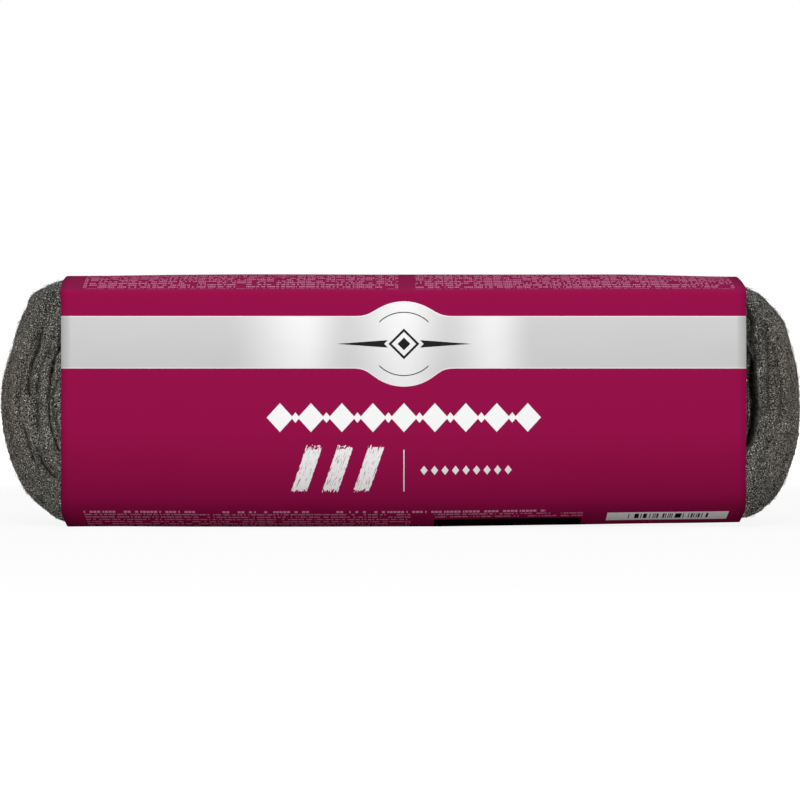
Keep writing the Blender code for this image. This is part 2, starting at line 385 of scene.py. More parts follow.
class Paint(NodeTree):
    """A material and its node tree."""

    def __init__(self, name):
        self.material = bpy.data.materials.new(name)
        self.material.use_nodes = True
        super().__init__(self.material.node_tree)

    def place(self):
        """The place on the piece, in metres."""
        return self.node("ShaderNodeTexCoord").output("Object")

    def attribute(self, name):
        """A number that the mesh holds at each of its points."""
        return self.node("ShaderNodeAttribute", {"attribute_name": name}).output("Fac")

    def mix(self, factor, first, second):
        """A colour between two colours, each a value or three numbers."""
        first, second = (c if isinstance(c, Value) else (*c, 1.0) for c in (first, second))
        return self.node("ShaderNodeMix", {"data_type": "RGBA"}, {0: factor, 6: first, 7: second}, 2)

    def separate(self, vector):
        """The three numbers of a vector."""
        made = self.node("ShaderNodeSeparateXYZ", {}, {0: vector})
        return [made.output(axis) for axis in range(3)]

    def combine(self, x, y, z=0.0):
        """A vector from three numbers."""
        return self.node("ShaderNodeCombineXYZ", {}, {0: x, 1: y, 2: z})

    def noise(self, vector, scale, detail=2.0, roughness=0.5):
        """Smooth noise between 0 and 1."""
        sockets = {"Vector": vector, "Scale": scale, "Detail": detail, "Roughness": roughness}
        return self.node("ShaderNodeTexNoise", {}, sockets)

    def chance(self, x, y=0.0, z=0.0):
        """An unrelated number between 0 and 1 for each set of whole numbers."""
        settings = {"noise_dimensions": "3D"}
        return self.node("ShaderNodeTexWhiteNoise", settings, {"Vector": self.combine(x, y, z)})

    def bump(self, height, distance, strength=1.0):
        """A normal from a height in metres times distance."""
        sockets = {"Height": height, "Distance": distance, "Strength": strength}
        return self.node("ShaderNodeBump", {}, sockets)

    def surface(self, linked, fixed):
        """Ends the tree with a Principled surface: linked values, and fixed numbers set on its sockets."""
        shader = self.node("ShaderNodeBsdfPrincipled", {}, {**fixed, **linked})
        self.node("ShaderNodeOutputMaterial", {}, {"Surface": shader})
        return self.material


def link(made):
    """Puts an object in the scene's collection."""
    bpy.context.scene.collection.objects.link(made)
    return made


def mesh_object(name, points, faces, finish):
    """A smooth mesh object at the origin with one material."""
    mesh = bpy.data.meshes.new(name)
    mesh.from_pydata(points.tolist(), [], faces.tolist())
    mesh.materials.append(finish)
    mesh.shade_smooth()
    return link(bpy.data.objects.new(name, mesh))


def plain_mesh(made):
    """Replaces an object's mesh with what its modifiers make of it, and removes the modifiers."""
    graph = bpy.context.evaluated_depsgraph_get()
    result = bpy.data.meshes.new_from_object(made.evaluated_get(graph), depsgraph=graph)
    result.name = made.name
    made.modifiers.clear()
    made.data = result


def set_attribute(mesh, name, kind, values):
    """A point attribute of a mesh."""
    attribute = mesh.attributes.new(name, kind, "POINT")
    attribute.data.foreach_set("vector" if kind == "FLOAT_VECTOR" else "value", np.ravel(values))


def rings_to_faces(rows, columns):
    """Quads between consecutive rows of a closed ring of points."""
    row, column = np.meshgrid(np.arange(rows - 1), np.arange(columns), indexing="ij")
    low = row * columns + column
    low_after = row * columns + (column + 1) % columns
    return np.stack([low, low_after, low_after + columns, low + columns], axis=-1).reshape(-1, 4)


class WoolSettings(bpy.types.PropertyGroup):
    """Sizes and colours of the wool."""

    bend_points: bpy.props.IntProperty(
        name="Points round a bend", description="Mesh points round each bend of the turns",
        default=120, min=12,
    )
    face_rings: bpy.props.IntProperty(
        name="Rings on a face", description="Mesh rings over the front, and over the back",
        default=100, min=12,
    )
    rim_rings: bpy.props.IntProperty(
        name="Rings on half the rim", description="Mesh rings from a face to the middle of the outer turn",
        default=26, min=4,
    )
    gap_depth: bpy.props.FloatProperty(
        name="Gap depth", description="Depth of the open gap between two turns",
        default=0.0125, min=0.0, unit="LENGTH",
    )
    lump_height: bpy.props.FloatProperty(
        name="Lump height", description="Height of the wool's soft unevenness",
        default=0.0004, min=0.0, unit="LENGTH",
    )
    layer_height: bpy.props.FloatProperty(
        name="Layer height", description="Height of the low ridges of the wool's thin layers",
        default=0.00045, min=0.0, unit="LENGTH",
    )
    streak_height: bpy.props.FloatProperty(
        name="Streak height", description="Height of the fine ridges that run along the turns",
        default=0.00022, min=0.0, unit="LENGTH",
    )
    # The dark of the speckle is painted shade between the fibres, and the darker tone of some fibres
    dark: bpy.props.FloatVectorProperty(
        name="Dark", description="Colour of the wool between its lit fibres",
        default=srgb(22, 20, 17), subtype="COLOR", min=0.0, max=1.0,
    )
    light: bpy.props.FloatVectorProperty(
        name="Light", description="Colour of the lit fibres near the sleeve",
        default=srgb(169, 166, 155), subtype="COLOR", min=0.0, max=1.0,
    )
    light_at_tips: bpy.props.FloatVectorProperty(
        name="Light at the tips", description="Colour of the lit fibres at the two tips",
        default=srgb(176, 161, 143), subtype="COLOR", min=0.0, max=1.0,
    )
    fibres: bpy.props.IntProperty(
        name="Fibres in a group", description="Curled fibres on each half of each end",
        default=6900, min=0,
    )
    fibre_length: bpy.props.FloatProperty(
        name="Fibre length", description="Mean length of a loose fibre",
        default=0.0020, min=0.0005, unit="LENGTH",
    )
    fibre_radius: bpy.props.FloatProperty(
        name="Fibre radius", description="Mean radius of a loose fibre, drawn a little thicker than real",
        default=0.000042, min=0.00001, unit="LENGTH",
    )


class SleeveSettings(bpy.types.PropertyGroup):
    """Sizes and colours of the paper sleeve."""

    paper: bpy.props.FloatProperty(
        name="Paper", description="Thickness of the sheet",
        default=0.00024, min=0.00005, unit="LENGTH",
    )
    waviness: bpy.props.FloatProperty(
        name="Waviness", description="Height of the soft waves in the sheet",
        default=0.00016, min=0.0, unit="LENGTH",
    )
    ground: bpy.props.FloatVectorProperty(
        name="Ground", description="Printed ground colour",
        default=srgb(153, 20, 75), subtype="COLOR", min=0.0, max=1.0,
    )
    silver: bpy.props.FloatVectorProperty(
        name="Silver", description="Colour of the silver band",
        default=srgb(194, 194, 194), subtype="COLOR", min=0.0, max=1.0,
    )
    white: bpy.props.FloatVectorProperty(
        name="White", description="Colour of the pale printed shapes",
        default=srgb(255, 255, 255), subtype="COLOR", min=0.0, max=1.0,
    )


class StageSettings(bpy.types.PropertyGroup):
    """The camera and the studio light."""

    camera_distance: bpy.props.FloatProperty(
        name="Camera distance", description="From the camera to the pad's middle",
        default=0.990, min=0.3, unit="LENGTH",
    )
    frame_width: bpy.props.FloatProperty(
        name="Frame width", description="Width of the picture at the pad's middle",
        default=0.25032, min=0.1, unit="LENGTH",
    )
    key_strength: bpy.props.FloatProperty(
        name="Key light", description="Share of full light that the key lamp gives",
        default=0.89, min=0.0, subtype="FACTOR",
    )
    sky_strength: bpy.props.FloatProperty(
        name="Sky light", description="Strength of the soft light from all round",
        default=0.22, min=0.0, subtype="FACTOR",
    )


def quarter(outline, upward, middle):
    """The front quarter of an outline, from the front middle to the top or bottom middle, by length."""
    front = outline[outline[:, 0] <= 0.0]
    height = front[:, 1]
    start = (np.interp(-middle, -height, front[:, 0]), middle)
    run = front[height > middle][::-1] if upward else front[height < middle]
    run = np.vstack([[start], run])
    lengths = np.concatenate([[0.0], np.cumsum(np.linalg.norm(np.diff(run, axis=0), axis=1))])
    return run, lengths


def on_section(run, out):
    """(y, z) on a quarter of the section: a distance from the front middle, or 1 plus a rim share."""
    points, lengths = run
    rim_starts = FACE_STOPS[-1]
    distance = np.where(out >= 1.0, rim_starts + (out - 1.0) * (lengths[-1] - rim_starts), out)
    return np.interp(distance, lengths, points[:, 0]), np.interp(distance, lengths, points[:, 1])


@dataclass
class Crease:
    """A crease between two layers of wool, as a line over one face of a bend.

    It lies nose metres out over the face at the bend's nose, and rise or fall further at the top or bottom.
    It shows between two sines of the angle round the bend, and width is half of its width.
    """

    nose: float
    rise: float
    fall: float
    reach: tuple
    depth: float
    width: float

    def place(self, sine):
        """Distance out over the face where the crease lies, by the sine of the angle round the bend."""
        return self.nose + self.rise * np.maximum(sine, 0.0) ** 3 + self.fall * np.maximum(-sine, 0.0) ** 3

    def fade(self, sine):
        """Share of the crease's depth, nothing past its two ends."""
        low, high = self.reach
        return smooth((sine - low) / CREASE_FADE) * smooth((high - sine) / CREASE_FADE)


@dataclass
class WoolBend:
    """What differs between the two ends of the skein.

    Chin is over 1 where the bend is slacker below its nose and under 1 where it is fuller. Sags are how far
    the outer turn draws in at the top and the bottom. Inner recess is how far the turns inside the gap lie
    back. Notches are heights and sizes of steps in the outer turn's edge, and swells are heights, sizes and
    reaches of soft swellings of it.
    """

    side: int
    nose_height: float
    chin: float
    sags: tuple
    gap: Crease
    inner_recess: float
    front: tuple
    back: tuple
    notches: tuple
    swells: tuple
    seed: int


LEFT_BEND = WoolBend(
    side=-1,
    nose_height=0.0379,
    chin=1.13,
    sags=(0.0, 0.0),
    gap=Crease(0.0152, 0.0050, 0.0006, (-0.93, 1.05), 0.0125, 0.0006),
    inner_recess=0.0,
    front=(
        Crease(0.0240, 0.0078, 0.0010, (0.02, 0.92), 0.0025, 0.0015),
        Crease(0.0006, 0.0243, 0.0, (0.86, 1.15), 0.0032, 0.0007),
        Crease(0.0204, 0.0010, 0.0010, (-0.48, 0.12), 0.0016, 0.0009),
        Crease(0.0200, 0.0040, 0.0, (0.05, 0.95), 0.0014, 0.0009),
        Crease(0.0270, 0.0010, 0.0008, (-0.78, -0.16), 0.0017, 0.0010),
        Crease(0.0236, 0.0, 0.0, (-1.05, -0.55), 0.0020, 0.0010),
        Crease(0.0290, 0.0030, 0.0020, (-0.35, 0.60), 0.0012, 0.0009),
        Crease(0.0115, 0.0, 0.0, (-1.05, 1.05), 0.0010, 0.0010),
        Crease(0.0440, 0.0040, 0.0, (-0.60, 1.05), 0.0013, 0.0016),
        Crease(0.0570, 0.0, 0.0050, (-1.05, 0.50), 0.0012, 0.0014),
    ),
    back=(
        Crease(0.0510, 0.0050, 0.0, (-0.85, 0.80), 0.0015, 0.0016),
        Crease(0.0400, 0.0, -0.0040, (-1.05, 0.20), 0.0012, 0.0014),
        Crease(0.0245, 0.0030, 0.0050, (-1.05, 0.30), 0.0026, 0.0012),
        Crease(0.0205, 0.0040, 0.0, (-0.10, 0.95), 0.0016, 0.0010),
        Crease(0.0285, 0.0020, 0.0, (0.10, 1.05), 0.0015, 0.0010),
        Crease(0.0115, 0.0, 0.0, (-1.05, 1.05), 0.0010, 0.0010),
    ),
    notches=((0.0100, 0.0007),),
    swells=((0.0712, 0.0012, 0.0026), (0.0560, -0.0010, 0.0065)),
    seed=3,
)
RIGHT_BEND = WoolBend(
    side=1,
    nose_height=0.0363,
    chin=0.77,
    sags=(0.0013, 0.0005),
    gap=Crease(0.0163, 0.0080, 0.0015, (-0.80, 0.80), 0.0125, 0.0014),
    inner_recess=0.0030,
    front=(
        Crease(0.0222, 0.0180, 0.0, (-0.16, 0.88), 0.0024, 0.0014),
        Crease(-0.0111, 0.0540, 0.0, (0.76, 1.10), 0.0042, 0.0017),
        Crease(0.0125, 0.0190, 0.0, (0.52, 1.00), 0.0036, 0.0024),
        Crease(0.0262, 0.0060, 0.0020, (-0.30, 0.60), 0.0011, 0.0009),
        Crease(0.0288, 0.0030, 0.0, (-0.15, 0.75), 0.0014, 0.0010),
        Crease(0.0225, 0.0, 0.0030, (-0.95, -0.35), 0.0011, 0.0010),
        Crease(0.0193, 0.0030, 0.0020, (-0.60, 0.40), 0.0009, 0.0008),
        Crease(0.0115, 0.0, 0.0, (-1.05, 1.05), 0.0010, 0.0010),
        Crease(0.0410, 0.0, 0.0040, (-1.05, 0.60), 0.0012, 0.0014),
        Crease(0.0520, 0.0060, 0.0, (-0.40, 1.05), 0.0015, 0.0017),
    ),
    back=(
        Crease(0.0480, 0.0, 0.0060, (-1.05, 0.70), 0.0014, 0.0016),
        Crease(0.0600, -0.0040, 0.0, (-0.30, 1.05), 0.0012, 0.0014),
        Crease(0.0235, 0.0060, 0.0020, (-0.40, 1.05), 0.0026, 0.0012),
        Crease(0.0275, 0.0, 0.0040, (-1.05, 0.10), 0.0018, 0.0011),
        Crease(0.0200, 0.0, 0.0040, (-0.95, 0.20), 0.0014, 0.0010),
        Crease(0.0115, 0.0, 0.0, (-1.05, 1.05), 0.0010, 0.0010),
    ),
    notches=((0.0671, 0.0009), (0.0286, 0.0007), (0.0133, 0.0008)),
    swells=((0.0722, 0.0005, 0.0028), (0.0627, 0.0006, 0.0030)),
    seed=8,
)


def creased(out, angle, bend, behind):
    """Depth of the creases, and the share of painted shade in them at each place, from 0 to 1."""
    sine = np.sin(angle)
    creases = bend.back if behind else bend.front
    seed = bend.seed + (20 if behind else 0)
    depth = np.zeros(out.shape)
    cavity = np.zeros(out.shape)
    for number, crease in enumerate(creases):
        wander = CREASE_WANDER * uneven(angle * 3.4 + 3.1 * number, 0.0, seed + 31 + number, 3)
        strength = crease.fade(sine) * (1.0 + 0.35 * uneven(angle * 3.0 + number, 0.0, seed + 57, 2))
        away = np.abs(out - crease.place(sine) - wander) / crease.width
        depth = depth + crease.depth * strength * np.exp(-away)
        # Painted shade: darkest in the middle of a deep crease
        cavity = np.maximum(cavity, strength * np.exp(-away * 1.2) * crease.depth / DARK_CREASE_DEPTH)
    return depth, np.clip(cavity, 0.0, 1.0)


def open_gap(out, angle, bend):
    """Share of the open gap's depth at a place, widest at the nose and closing towards its ends."""
    sine = np.sin(angle)
    wander = GAP_WANDER * uneven(angle * 3.1, 0.0, bend.seed + 90, 2)
    half_width = bend.gap.width * bend.gap.fade(sine) * (1.0 - 0.55 * sine**2)
    away = np.abs(out - bend.gap.place(sine) - wander) - half_width
    return (1.0 - smooth((away + 0.0002) / GAP_EDGE)) * np.clip(half_width / GAP_WANDER, 0.0, 1.0)


def notched(height, bend):
    """How far the outer turn's edge is set in at a height: small steps with a slow recovery below."""
    total = 0.0
    for step_height, step in bend.notches:
        under = (step_height - height) / NOTCH_REACH
        total = total + step * smooth(under * 6.0 + 0.5) * np.exp(-np.clip(under, 0.0, 20.0))
    return total


def swollen(height, bend):
    """How far the outer turn stands out at a height, or in where it is negative."""
    return sum(size * np.exp(-((height - place) / reach) ** 2) for place, size, reach in bend.swells)


def uneven_height(angle, distance, bend, settings, behind):
    """Height of the wool's lumps, of the ridges of its thin layers and of its fine streaks."""
    along = angle * ROUND_A_BEND
    seed = bend.seed + (40 if behind else 0)

    def bumps(size, seed_step, shift=0.0, slant=0.0):
        return uneven(along / size[0] + shift, distance / size[1] + slant, seed + seed_step, 2)

    lump = bumps(LUMP_SIZE, 5, shift=4.0)
    fold = bumps(FOLD_SIZE, 9, shift=distance / FOLD_SLANT)
    layer = bumps(LAYER_SIZE, 6, shift=2.0 + 0.8 * fold, slant=0.9 * fold) + 0.8 * fold
    streak = bumps(STREAK_SIZE, 7)
    return settings.lump_height * lump + settings.layer_height * layer + settings.streak_height * streak


def wool_rings(settings):
    """Places of the mesh's rings from the heart of the skein to the middle of the outer turn."""
    heart = FACE_STOPS[1]
    heart_rings = 6
    face = np.concatenate([
        np.linspace(0.0, heart, heart_rings, endpoint=False),
        np.linspace(heart, FACE_STOPS[-1], settings.face_rings - heart_rings),
    ])
    rim = 1.0 + np.linspace(0.0, 1.0, settings.rim_rings + 1)[1:]
    return np.concatenate([face, rim])


def tip_inset(out, rim_share):
    """How far each ring's bend stands in from the tip, over the face and then round the rim."""
    crossing = smooth(rim_share / RIM_STARTS_AT)
    rounded = RIM_ROUNDING * np.clip((1.0 - rim_share) / (1.0 - RIM_STARTS_AT), 0.0, 1.0) ** 2
    on_face = np.interp(out, FACE_STOPS, TIP_INSETS)
    return np.where(out >= 1.0, TIP_INSETS[-1] + (rounded - TIP_INSETS[-1]) * crossing, on_face)


def bend_points(bend, rings, angles, quarters, settings, behind):
    """One end of the wool over rings and angles, from top to bottom: x, y, z and the share of painted
    shade.
    """
    out, angle = np.meshgrid(rings, angles, indexing="ij")
    sine = np.sin(angle)
    cosine = np.clip(np.cos(angle), 0.0, 1.0)
    on_rim = out >= 1.0
    rim_share = np.where(on_rim, out - 1.0, 0.0)
    distance = np.where(on_rim, FACE_STOPS[-1] + rim_share * RIM_REACH, out)

    # The smooth bend
    (y_above, z_above), (y_below, z_below) = (on_section(run, out) for run in quarters)
    tip = WOOL_HIGH[0] if bend.side > 0 else -WOOL_LOW[0]
    chin = 1.0 + (bend.chin - 1.0) * np.clip(out / FACE_STOPS[-1], 0.0, 1.0)
    reach = cosine ** np.where(sine < 0, chin, 1.0)
    x = BEND_STARTS_AT + (tip - tip_inset(out, rim_share) - BEND_STARTS_AT) * reach
    y = y_below + (y_above - y_below) * smooth((1.0 + sine) / 2)
    end_height = np.where(sine > 0, z_above, z_below)
    z = bend.nose_height + (end_height - bend.nose_height) * np.abs(sine)

    # Creases and the open gap, only where the wool is past the sleeve's end
    sleeve_end = sleeve_reach(z, bend.side)
    past = x - sleeve_end
    free = np.clip(past / (tip - sleeve_end), 0.0, 1.0)
    bare = smooth(past / BARE_FADE + 0.5) * smooth(out / HEART_FADE)
    opened = smooth((x - BEND_STARTS_AT + GROOVE_FADE) / GROOVE_FADE)
    depth, cavity = creased(distance, angle, bend, behind)
    gap = open_gap(out, angle, bend) * smooth(past / GAP_UNDER_SLEEVE_FADE + 0.8) * (1.0 - on_rim)
    inner = 1.0 - smooth((out - bend.gap.place(sine)) / INNER_FADE)
    depth = np.maximum(depth * opened * bare + inner * bend.inner_recess * bare, gap * settings.gap_depth)
    # Painted shade in the creases, in the open gap and on the turns that lie back inside it
    recess_shade = inner * bend.inner_recess / SHADED_RECESS * INNER_SHADE
    cavity = np.maximum(cavity, np.maximum(gap, recess_shade))

    # Unevenness: over the face it moves the wool along Y, and round the rim along X and Z
    bumps = uneven_height(angle, distance, bend, settings, behind)
    bumps = bumps * bare * np.where(on_rim, 1.0 - 0.9 * smooth((rim_share - 0.7) / 0.3), 1.0)
    turned = np.where(on_rim, smooth(rim_share / 0.3), 0.0)
    y = np.minimum(y + (depth - bumps) * (1.0 - turned), -NEAREST_TO_MIDDLE * (1.0 - rim_share))
    y = np.minimum(y, 0.0) * (1.0 - END_NARROWING / (DEPTH / 2) * free**1.5)
    notch = notched(z, bend) * smooth(distance / 0.03 - 0.4) * (1.0 - smooth((rim_share - 0.3) / 0.4))
    sag = bend.sags[0] * smooth((sine - 0.72) / 0.24) + bend.sags[1] * smooth((-sine - 0.8) / 0.2)
    sag = (sag - swollen(z, bend)) * smooth(distance / 0.03)
    settled = (settings.lump_height + settings.layer_height) * 0.5
    edge = (bumps - settled - depth * 0.8) * turned - notch * (0.0 if behind else 1.0) - sag
    x = (x + edge * cosine**0.4 * bare) * bend.side
    z = z + edge * sine * bare
    return np.stack([x, -y if behind else y, lifted(z, x), cavity], axis=-1)


def wool_columns(rings, angles, quarters, settings, behind):
    """The whole wool over the given rings, as closed loops: top, right bend, bottom, left bend."""
    straight = np.linspace(-BEND_STARTS_AT + GROOVE_FADE, BEND_STARTS_AT - GROOVE_FADE, 5)
    sign = -1.0 if behind else 1.0
    runs = []
    for run, xs in zip(quarters, (straight, straight[::-1])):
        y, z = on_section(run, rings)
        columns = [[np.full_like(y, x), y * sign, lifted(z, x), np.zeros_like(y)] for x in xs]
        runs.append(np.stack([np.stack(column, axis=-1) for column in columns], axis=1))
    right = bend_points(RIGHT_BEND, rings, angles, quarters, settings, behind)
    left = bend_points(LEFT_BEND, rings, angles, quarters, settings, behind)
    return np.concatenate([runs[0], right, runs[1], left[:, ::-1]], axis=1)


def wool_shell(settings):
    """The wool as rows of closed loops, from the heart at the front over the rim to the back."""
    outline = SECTION - normals_of(SECTION) * WOOL_INSET
    middle = (LEFT_BEND.nose_height + RIGHT_BEND.nose_height) / 2
    quarters = (quarter(outline, True, middle), quarter(outline, False, middle))
    rings = wool_rings(settings)
    angles = np.linspace(math.pi / 2, -math.pi / 2, settings.bend_points)
    front = wool_columns(rings, angles, quarters, settings, False)
    back = wool_columns(rings, angles, quarters, settings, True)
    return np.concatenate([front, back[-2::-1]], axis=0)


# Grain of the wool's finish, in waves to a metre, and its two fixed colours: a painted glint and a painted
# deep shade
PATCH_GRAIN = 110.0
SPECKLE_GRAIN = 2500.0
FLECK_GRAIN = 2700.0
GLINT = srgb(255, 255, 248)
DEEP_SHADE = srgb(14, 11, 8)


def wool_paint(name, settings, of_fibres):
    """Dull steel: fine salt-and-pepper grey with painted glints, painted shade in the depths and towards
    the top, browner at the tips.
    """
    paint = Paint(name)
    place = paint.place()
    x, _, z = paint.separate(place)
    patches = paint.noise(place, PATCH_GRAIN, 3.0)
    speckle = paint.noise(place, SPECKLE_GRAIN, 2.0, 0.65)
    flecks = paint.noise(place, FLECK_GRAIN, 1.0)
    if of_fibres:
        tone = paint.attribute("tone")
        shade = (tone * 0.9 + 0.35) * speckle.ramp(0.47, 0.60)
        glint = flecks.ramp(0.59, 0.64) * (tone * 0.6 + 0.4)
        relief = 0.0005
    else:
        shade = speckle.ramp(0.475, 0.60) * 0.8
        glint = flecks.ramp(0.61, 0.65)
        relief = 0.0014
    # Painted shade: the wool is darker towards the top, whose upward faces catch more of the lamp
    top_shade = z.ramp(0.050, 0.074)
    shade = shade * (patches * 0.5 + 0.75) * (1.0 - top_shade * 0.45)
    near_tip = abs(x).ramp(0.106, 0.122)
    colour = paint.mix(shade, settings.dark, paint.mix(near_tip, settings.light, settings.light_at_tips))
    # Painted glints: near-white flecks in the colour, where the steel is also shinier and more metallic
    colour = paint.mix(glint, colour, GLINT)
    # Painted shade: the creases, the gap and the recessed turns are darkened towards the deep shade
    colour = paint.mix(paint.attribute("cavity").math("POWER", 0.8) * 0.93, colour, DEEP_SHADE)
    linked = {
        "Base Color": colour,
        "Roughness": 0.6 - glint * 0.25,
        "Metallic": 0.25 + glint * 0.4,
        "Normal": paint.bump(speckle, relief, 0.9),
    }
    return paint.surface(linked, {"Specular IOR Level": 0.3})


class WOOLPAD_OT_turns(bpy.types.Operator):
    """Make the wound turns of the wool: the nested bends at both ends and the skein inside the sleeve"""

    bl_idname = "woolpad.turns"
    bl_label = "Wool turns"

    def execute(self, context):
        """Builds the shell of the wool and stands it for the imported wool."""
        settings = context.scene.woolpad_wool
        shell = wool_shell(settings)
        points = shell[..., :3]
        rows, columns = points.shape[:2]
        finish = wool_paint("steel_wool_depths", settings, False)
        made = mesh_object("wool_turns", points.reshape(-1, 3), rings_to_faces(rows, columns), finish)
        flow = np.roll(points, -1, axis=1) - np.roll(points, 1, axis=1)
        flow /= np.maximum(np.linalg.norm(flow, axis=-1, keepdims=True), 1e-9)
        set_attribute(made.data, "flow", "FLOAT_VECTOR", flow)
        set_attribute(made.data, "cavity", "FLOAT", shell[..., 3])
        close_slits(made.data)
        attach(made, "root")
        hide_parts("steel_wool")
        return {"FINISHED"}


def close_slits(mesh):
    """Merges the doubled points at the heart of the skein and turns every face outwards."""
    shell = bmesh.new()
    shell.from_mesh(mesh)
    bmesh.ops.remove_doubles(shell, verts=shell.verts, dist=DOUBLED_WITHIN)
    bmesh.ops.recalc_face_normals(shell, faces=shell.faces)
    shell.to_mesh(mesh)
    shell.free()
    mesh.shade_smooth()


class FibreTree(NodeTree):
    """A geometry node tree with named inputs, and the kinds of node that the fibres need."""

    def __init__(self, name):
        super().__init__(bpy.data.node_groups.new(name, "GeometryNodeTree"))
        self.tree.interface.new_socket("Geometry", in_out="OUTPUT", socket_type="NodeSocketGeometry")
        self.identifiers = {}

    def add_input(self, name, kind, value=None):
        """Adds a named input with its default, and notes its identifier."""
        made = self.tree.interface.new_socket(name, in_out="INPUT", socket_type=kind)
        if value is not None:
            made.default_value = value
        self.identifiers[name] = made.identifier

    def attribute(self, name, kind):
        """What the mesh holds under a name at each of its points."""
        return self.node("GeometryNodeInputNamedAttribute", {"data_type": kind}, {0: name})

    def added(self, first, second):
        """The sum of two vectors."""
        return self.node("ShaderNodeVectorMath", {"operation": "ADD"}, {0: first, 1: second})

    def scaled(self, vector, scale):
        """A vector times a number."""
        return self.node("ShaderNodeVectorMath", {"operation": "SCALE"}, {0: vector, 3: scale})

    def random(self, low, high, seed, key=None):
        """A random number for each element, or for each value of a key."""
        sockets = {2: low, 3: high, 8: seed}
        if key is not None:
            sockets[7] = key
        return self.node("FunctionNodeRandomValue", {"data_type": "FLOAT"}, sockets, 1)

    def random_way(self, seed, key):
        """A random vector between -1 and 1 on each axis for each value of a key."""
        sockets = {0: (-1.0, -1.0, -1.0), 1: (1.0, 1.0, 1.0), 7: key, 8: seed}
        return self.node("FunctionNodeRandomValue", {"data_type": "FLOAT_VECTOR"}, sockets)


def scattered(tree, given):
    """Straight lines scattered over the coat's part of the wool, each turned a little off its flow."""
    points = tree.node("GeometryNodeDistributePointsOnFaces", {}, {
        "Mesh": given.output("Geometry"),
        "Density": tree.attribute("coat", "FLOAT") * given.output("Density"),
        "Seed": given.output("Seed"),
    })
    normal = points.output("Normal")
    spread = tree.random(-1.0, 1.0, 3)
    turn = abs(spread).math("POWER", 1.6) * spread * WIDEST_TURN
    flow = tree.attribute("flow", "FLOAT_VECTOR")
    along = tree.node("ShaderNodeVectorRotate", {}, {"Vector": flow, "Axis": normal, "Angle": turn})
    axes = {"primary_axis": "Z", "secondary_axis": "X"}
    rotation = tree.node("FunctionNodeAxesToRotation", axes, {0: normal, 1: along})
    line = tree.node("GeometryNodeCurvePrimitiveLine", {}, {0: (-0.5, 0.0, 0.0), 1: (0.5, 0.0, 0.0)})
    line = tree.node("GeometryNodeResampleCurve", {"mode": "COUNT"}, {"Curve": line, "Count": 5})
    lines = tree.node("GeometryNodeInstanceOnPoints", {}, {
        "Points": points,
        "Instance": line,
        "Rotation": rotation,
        "Scale": given.output("Length") * tree.random(0.5, 1.7, 5),
    })
    return tree.node("GeometryNodeRealizeInstances", {}, {0: lines})


def fibre_tree():
    """Scatters fibres on a surface along its flow, curls them, lays them down and gives them thickness."""
    tree = FibreTree("curled_fibres")
    tree.add_input("Geometry", "NodeSocketGeometry")
    tree.add_input("Density", "NodeSocketFloat", 100000.0)
    tree.add_input("Length", "NodeSocketFloat", 0.011)
    tree.add_input("Radius", "NodeSocketFloat", 0.00007)
    tree.add_input("Curl", "NodeSocketFloat", 0.0006)
    tree.add_input("Lift", "NodeSocketFloat", 0.00022)
    tree.add_input("Seed", "NodeSocketInt", 1)
    tree.add_input("Material", "NodeSocketMaterial")
    given = tree.node("NodeGroupInput")
    wool = given.output("Geometry")
    fibres = scattered(tree, given)

    # Each fibre winds about its line
    key = tree.node("GeometryNodeCurveOfPoint")
    along_fibre = tree.node("GeometryNodeSplineParameter")
    wave = along_fibre * tree.random(0.4, 1.3, 11, key) * FULL_TURN + tree.random(0.0, ANY_PHASE, 12, key)
    first = tree.scaled(tree.random_way(13, key), wave.math("SINE"))
    second = tree.scaled(tree.random_way(14, key), (wave * 1.37).math("COSINE"))
    curl = tree.scaled(tree.added(first, second), given.output("Curl") * tree.random(0.3, 1.5, 15, key))
    fibres = tree.node("GeometryNodeSetPosition", {}, {"Geometry": fibres, "Offset": curl})

    # Each fibre is laid on the nearest wool, weaving in and out of it, and a few arch away
    nearest = tree.node("GeometryNodeProximity", {"target_element": "FACES"}, {"Geometry": wool})
    outward = tree.node("GeometryNodeSampleNearestSurface", {"data_type": "FLOAT_VECTOR"}, {
        "Mesh": wool, "Value": tree.node("GeometryNodeInputNormal"),
    })
    hump = (along_fibre * FULL_TURN / 2.0).math("SINE") * tree.random(0.0, 1.0, 21, key).math("POWER", 12.0)
    weave = (wave * 1.7 + tree.random(0.0, ANY_PHASE, 22, key)).math("SINE")
    lift = (hump * 3.5 + weave * 0.35 + 0.32) * given.output("Lift")
    laid = tree.added(nearest, tree.scaled(outward, lift))
    fibres = tree.node("GeometryNodeSetPosition", {}, {"Geometry": fibres, "Position": laid})

    # Each fibre has its own tone and thickness, and thins towards its ends
    fibres = tree.node("GeometryNodeStoreNamedAttribute", {"data_type": "FLOAT", "domain": "POINT"}, {
        "Geometry": fibres, "Name": "tone", "Value": tree.random(0.0, 1.0, 31, key),
    })
    taper = 1.0 - abs(along_fibre * 2.0 - 1.0).math("POWER", 3.0) * 0.75
    radius = given.output("Radius") * tree.random(0.7, 1.5, 32, key) * taper
    fibres = tree.node("GeometryNodeSetCurveRadius", {}, {"Curve": fibres, "Radius": radius})
    ring = tree.node("GeometryNodeCurvePrimitiveCircle", {}, {"Resolution": 3, "Radius": 1.0})
    mesh = tree.node("GeometryNodeCurveToMesh", {}, {
        "Curve": fibres, "Profile Curve": ring, "Scale": radius, "Fill Caps": True,
    })
    mesh = tree.node("GeometryNodeRealizeInstances", {}, {0: mesh})
    finish = given.output("Material")
    mesh = tree.node("GeometryNodeSetMaterial", {}, {"Geometry": mesh, "Material": finish})
    tree.node("NodeGroupOutput", {}, {0: mesh})
    return tree


